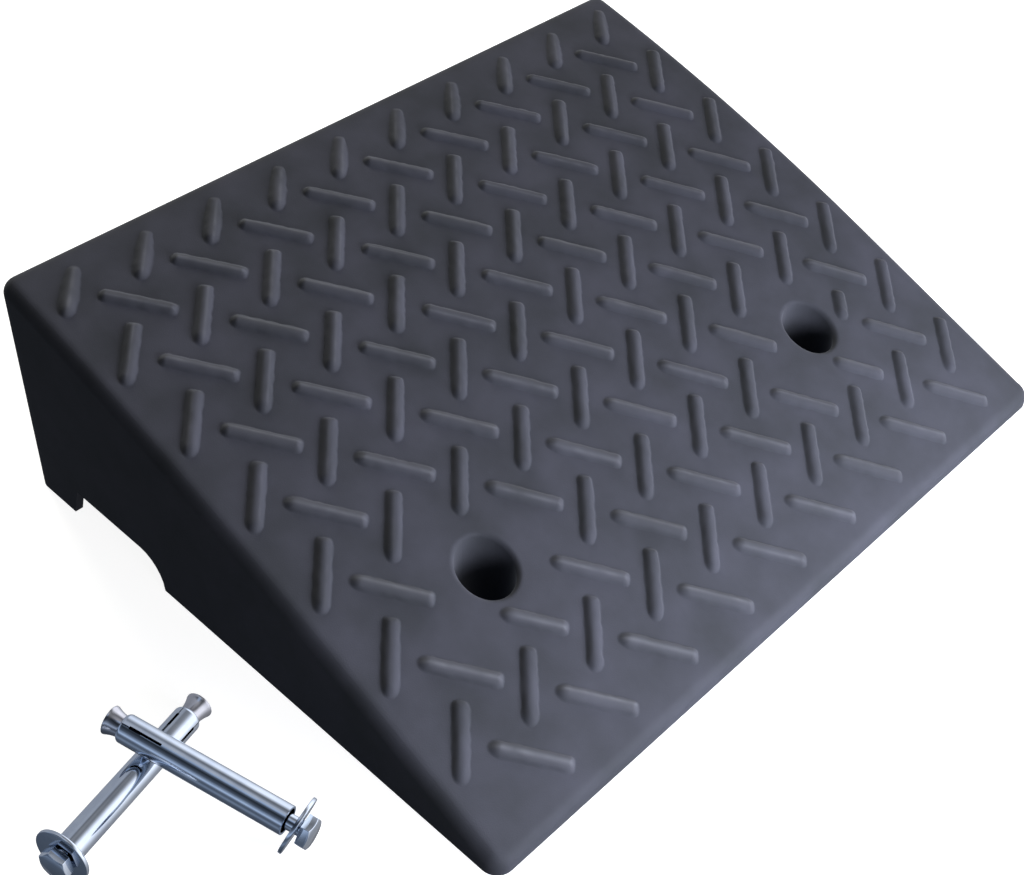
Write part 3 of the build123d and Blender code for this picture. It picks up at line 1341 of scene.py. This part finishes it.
    def _slit(self, obj: Object, turn: float, low: float, high: float, width: float) -> None:
        """Cut a straight slit through one side of a tube.

        Args:
            obj: The tube.
            turn: The slit's angle about the axis.
            low: Where it starts along the axis.
            high: Where it ends.
            width: Its width.
        """
        cutter = add_mesh("cutter", bpy.ops.mesh.primitive_cube_add, size=1)
        size = Matrix.Diagonal(Vector((self.sleeve_radius, width, high - low, 1 / MM))) * MM
        middle = Matrix.Translation(Vector((self.sleeve_radius, 0, (low + high) / 2)) * MM)
        cutter.data.transform(Matrix.Rotation(turn, 4, "Z") @ middle @ size)
        combine(obj, cutter, Combine.OUTSIDE)

    def build_bolt(self) -> Object:
        """Model the hex head with its turned-off corners, and the shank.

        Returns:
            The bolt.
        """
        corner, flat, under = self.across_flats / sqrt(3), self.across_flats / 2, -self.head_height
        prism = {"vertices": self.head_sides, "radius": corner * MM, "depth": self.head_height * MM}
        bolt = add_mesh(f"{self.which}_bolt", bpy.ops.mesh.primitive_cylinder_add, **prism)
        turn = Matrix.Rotation(radians(self.head_turn + 180 / self.head_sides), 4, "Z")
        bolt.data.transform(Matrix.Translation((0, 0, under / 2 * MM)) @ turn)
        wide, above = corner + self.head_clearance[0], self.head_clearance[1]
        combine(bolt, self.spun("turned_head", [
            (0.0, above), (wide, above), (wide, under + self.head_chamfer),
            (flat - self.head_chamfer / 2, under), (0.0, under),
        ]), Combine.SHARED)
        edges = bolt.modifiers.new("edges", "BEVEL")
        edges.width = self.head_edge * MM
        edges.segments = self.head_edge_parts
        edges.limit_method = "ANGLE"
        edges.angle_limit = radians(self.sharp_turned)
        bpy.ops.object.modifier_apply(modifier=edges.name)
        radius, end, start = self.shank_radius, self.bolt_length, -self.into_head
        into = self.sleeve_start + self.into_sleeve
        join(bolt, [self.spun("shank", [
            (0.0, start), (radius, start), (radius, into), (radius, into + self.shank_ring),
            (radius, end - self.shank_chamfer), (radius - self.shank_chamfer, end), (0.0, end),
        ])])
        self.paint_inside_shade(bolt, into + self.shank_ring / 2, self.sleeve_end, self.sleeve_radius)
        return self.lay(bolt, self.sharp_cut)

    def dress(self, pieces: dict[str, Object], zinc: Finish, steel: Finish) -> None:
        """Give the pieces their finishes and their places in the frame.

        Args:
            pieces: The four pieces by name.
            zinc: Finish of the plated pieces.
            steel: Finish of the nut.
        """
        plated, turned = zinc.make(), steel.make()
        for name, obj in pieces.items():
            obj.data.materials.clear()
            obj.data.materials.append(turned if name == "nut" else plated)
            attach(obj, f"{self.which}_{name}")
            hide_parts(f"{self.which}_anchor_{name}")
            log.info("%s: %d faces", obj.name, len(obj.data.polygons))

    def build(self) -> dict[str, Object]:
        """Model the four pieces.

        Returns:
            The pieces by name.
        """
        return {
            "bolt": self.build_bolt(),
            "washer": self.build_washer(),
            "sleeve": self.build_sleeve(),
            "nut": self.build_nut(),
        }


@dataclass(frozen=True)
class Lamp:
    """A soft rectangular light that faces the ramp, sized in metres."""

    name: str
    place: tuple[float, float, float]
    size: Pair
    watts: float
    tint: Colour
    aim: tuple[float, float, float] = (0.0, 0.0, 0.05)

    def hang(self) -> None:
        """Hang the light, out of the camera's sight and of what the metal mirrors."""
        data = bpy.data.lights.new(self.name, "AREA")
        data.shape = "RECTANGLE"
        data.size, data.size_y = self.size
        data.energy = self.watts
        data.color = self.tint
        light = bpy.data.objects.new(self.name, data)
        light.location = self.place
        light.rotation_euler = (Vector(self.aim) - Vector(self.place)).to_track_quat("-Z", "Y").to_euler()
        light.visible_camera = False
        light.visible_glossy = False
        bpy.context.scene.collection.objects.link(light)


@dataclass(frozen=True)
class Wall:
    """One wall of the light tent: its bands' brightness by height, its tint, and where it takes over."""

    bands: tuple[Pair, ...]
    tint: Colour
    toward: tuple[float, float, float] = (0.0, 0.0, 0.0)
    starts: float = 0.0
    ends: float = 1.0

    def colour(self, tree: NodeTree, height: NodeSocket) -> NodeSocket:
        """Draw the bands from the floor to the ceiling.

        Args:
            tree: The world's nodes.
            height: Sine of the height over the horizon.

        Returns:
            The colour.
        """
        share = add_node(tree, "MapRange", {"Value": height, "From Min": -1.0}).outputs["Result"]
        ramp = add_node(tree, "ValToRGB", {"Fac": share})
        stops = ramp.color_ramp.elements
        while len(stops) < len(self.bands):
            stops.new(0.5)
        for stop, (place, grey) in zip(stops, self.bands):
            stop.position = (place + 1) / 2
            stop.color = (*(grey * part for part in self.tint), 1)
        return ramp.outputs["Color"]

    def share(self, tree: NodeTree, heading: NodeSocket) -> NodeSocket:
        """How much of the view this wall takes, by its heading.

        Args:
            tree: The world's nodes.
            heading: Level direction of the view.

        Returns:
            The share.
        """
        inputs = {0: heading, 1: self.toward}
        along = add_node(tree, "VectorMath", inputs, operation="DOT_PRODUCT").outputs["Value"]
        inputs = {"Value": along, "From Min": self.starts, "From Max": self.ends}
        return add_node(tree, "MapRange", inputs, interpolation_type="SMOOTHSTEP").outputs["Result"]


@dataclass(frozen=True)
class Studio:
    """Pale floor, soft lights and the camera at the photo's angle."""

    azimuth: float = -0.7954789806756598
    elevation: float = 0.6937101996121486
    roll: float = 0.0143844698769845
    aim: tuple[float, float, float] = (0.00812, 0.08812, 0.0)
    distance: float = 1.01197
    focal_pixels: float = 1554.7686
    middle: Pair = (458.689, 367.131)
    picture: Pair = (1024.0, 875.0)
    sensor: float = 36.0
    floor_size: float = 12.0
    floor_glow: float = 0.9
    floor_pale: float = 0.6
    floor_unseen: float = 0.15
    ambient: float = 0.083
    seen_around: float = 1.0
    lamps: tuple[Lamp, ...] = (
        Lamp("side", (2.5, -1.5, 1.5), (1.5, 1.5), 75.0, (0.97, 0.96, 1.07)),
        Lamp("rear", (0.9, 2.4, 1.5), (1.5, 1.5), 70.0, (1.06, 1.04, 0.9)),
        Lamp("front", (0.03, -0.42, 0.12), (0.72, 0.15), 3.33, (0.93, 0.97, 1.1)),
    )
    dark_side: Wall = Wall(
        bands=((-1.0, 0.06), (-0.63, 0.11), (-0.39, 0.25), (-0.14, 0.12), (0.0, 0.12), (0.1, 0.18),
               (0.29, 0.58), (0.47, 0.3), (0.64, 0.1), (0.78, 0.055), (0.88, 0.025),
               (0.956, 0.12), (1.0, 0.6)),
        tint=(0.76, 0.95, 1.28),
    )
    bright_side: Wall = Wall(
        bands=((-1.0, 0.25), (-0.67, 0.42), (-0.45, 0.7), (-0.22, 1.05), (0.0, 1.4), (0.5, 1.35), (0.66, 0.8),
               (0.755, 0.38), (0.83, 0.2), (0.9, 0.28), (0.985, 0.45), (1.0, 0.5)),
        tint=(0.93, 0.97, 1.06), toward=(0.906, -0.423, 0.0), starts=-0.05, ends=0.85,
    )
    rear_side: Wall = Wall(
        bands=((-1.0, 0.25), (-0.2, 0.36), (0.6, 0.36), (0.85, 0.42), (1.0, 0.5)),
        tint=(0.9, 0.97, 1.12), toward=(0.2, 0.98, 0.0), starts=0.7, ends=0.95,
    )

    def build(self) -> None:
        """Set up the floor, the lights, the world and the camera."""
        self._camera()
        self._floor()
        self._world()
        for lamp in self.lamps:
            lamp.hang()
        bpy.context.scene.view_settings.view_transform = "Standard"

    def _camera(self) -> None:
        """Place the camera as fitted to the photo's edges."""
        level = cos(self.elevation)
        toward = Vector((level * sin(self.azimuth), -level * cos(self.azimuth), sin(self.elevation)))
        right = (-toward).cross(Vector((0, 0, 1))).normalized()
        upward = right.cross(-toward)
        turned_right = right * cos(self.roll) + upward * sin(self.roll)
        turned_up = upward * cos(self.roll) - right * sin(self.roll)
        matrix = Matrix((turned_right, turned_up, toward)).transposed().to_4x4()
        matrix.translation = Vector(self.aim) + toward * self.distance
        data = bpy.data.cameras.new("camera")
        wide, high = self.picture
        data.sensor_width = self.sensor
        data.lens = self.focal_pixels / wide * self.sensor
        data.shift_x = (wide / 2 - self.middle[0]) / wide
        data.shift_y = -(high / 2 - self.middle[1]) / wide
        camera = bpy.data.objects.new("camera", data)
        camera.matrix_world = matrix
        bpy.context.scene.collection.objects.link(camera)
        bpy.context.scene.camera = camera

    def _floor(self) -> None:
        """Lay a large plain floor that looks white to the camera and keeps the shadows."""
        floor = add_mesh("floor", bpy.ops.mesh.primitive_plane_add, size=self.floor_size)
        material = bpy.data.materials.new("floor")
        material.use_nodes = True
        tree = material.node_tree
        tree.nodes.clear()
        glow = add_node(tree, "Emission", {"Strength": self.floor_glow})
        pale, unseen = (
            add_node(tree, "BsdfDiffuse", {"Color": (grey, grey, grey, 1)})
            for grey in (self.floor_pale, self.floor_unseen)
        )
        seen = add_node(tree, "AddShader", {0: glow.outputs[0], 1: pale.outputs[0]})
        rays = add_node(tree, "LightPath", {}).outputs["Is Camera Ray"]
        mix = add_node(tree, "MixShader", {0: rays, 1: unseen.outputs[0], 2: seen.outputs[0]})
        add_node(tree, "OutputMaterial", {"Surface": mix.outputs[0]})
        floor.data.materials.append(material)
        floor.visible_glossy = False

    def _world(self) -> None:
        """Fill the surroundings with plain soft light, and let the metal mirror the walls of a light tent."""
        world = bpy.data.worlds.new("studio")
        world.use_nodes = True
        tree = world.node_tree

        def mix(share: NodeSocket, first: Any, second: Any) -> NodeSocket:
            """Mix two colours by the share of the second one."""
            inputs = {"Factor": share, "A": first, "B": second}
            return add_node(tree, "Mix", inputs, data_type="RGBA").outputs["Result"]

        view = add_node(tree, "TexCoord", {}).outputs["Generated"]
        height = add_node(tree, "SeparateXYZ", {"Vector": view}).outputs["Z"]
        level = add_node(tree, "VectorMath", {0: view, 1: (1.0, 1.0, 0.0)}, operation="MULTIPLY")
        heading = add_node(tree, "VectorMath", {0: level.outputs["Vector"]}, operation="NORMALIZE")
        walls = self.dark_side.colour(tree, height)
        for wall in (self.bright_side, self.rear_side):
            walls = mix(wall.share(tree, heading.outputs["Vector"]), walls, wall.colour(tree, height))
        rays = add_node(tree, "LightPath", {}).outputs
        light = mix(rays["Is Glossy Ray"], (self.ambient, self.ambient, self.ambient, 1), walls)
        seen = mix(rays["Is Camera Ray"], light, (self.seen_around, self.seen_around, self.seen_around, 1))
        background = tree.nodes["Background"]
        background.inputs["Strength"].default_value = 1.0
        tree.links.new(seen, background.inputs["Color"])
        bpy.context.scene.world = world


# Each finish may lighten the bar tops, partly as wear and partly as painted light, and may paint near-black
# shade into the wells and inside the sleeves.
PLASTIC = Finish(
    name="charcoal_plastic", slot=Slot.PLASTIC,
    colour=(0.0468, 0.0492, 0.0558), light_colour=(0.0666, 0.0684, 0.0828),
    metallic=0.0, specular=0.06, roughness=0.55, rough_spread=0.05,
    mottle_scale=28.0, grain_scale=1400.0, grain_depth=0.06, worn_and_lit=0.42, painted_shade=0.42,
)
ZINC = Finish(
    name="zinc_plating", slot=Slot.ZINC,
    colour=(0.66, 0.72, 0.82), light_colour=(0.78, 0.83, 0.90),
    metallic=1.0, roughness=0.07, rough_spread=0.03,
    mottle_scale=120.0, grain_scale=2600.0, grain_depth=0.004, painted_shade=1.0,
)
STEEL = Finish(
    name="turned_steel", slot=Slot.NUT,
    colour=(0.54, 0.53, 0.56), light_colour=(0.66, 0.65, 0.68),
    metallic=1.0, roughness=0.08, rough_spread=0.03,
    mottle_scale=150.0, grain_scale=2600.0, grain_depth=0.015, painted_shade=1.0,
)


def main() -> None:
    """Build the pieces in order, dress them, and set up the studio."""
    logging.basicConfig(level=logging.INFO, format="%(message)s")
    shape = TreadShape()
    ramp = Ramp(shape, PLASTIC)
    ramp.dress(ramp.build())
    anchors = (
        SleeveAnchor("lower", 1.0, 0.5, 9.5, lean=0.0, slit_turn=-12.0, head_turn=47.0),
        SleeveAnchor("upper", 2.4, 4.3, 8.0, lean=12.0, slit_turn=-17.4, head_turn=35.0),
    )
    for anchor in anchors:
        anchor.dress(anchor.build(), ZINC, STEEL)
    Studio().build()


if __name__ == "__main__":
    main()
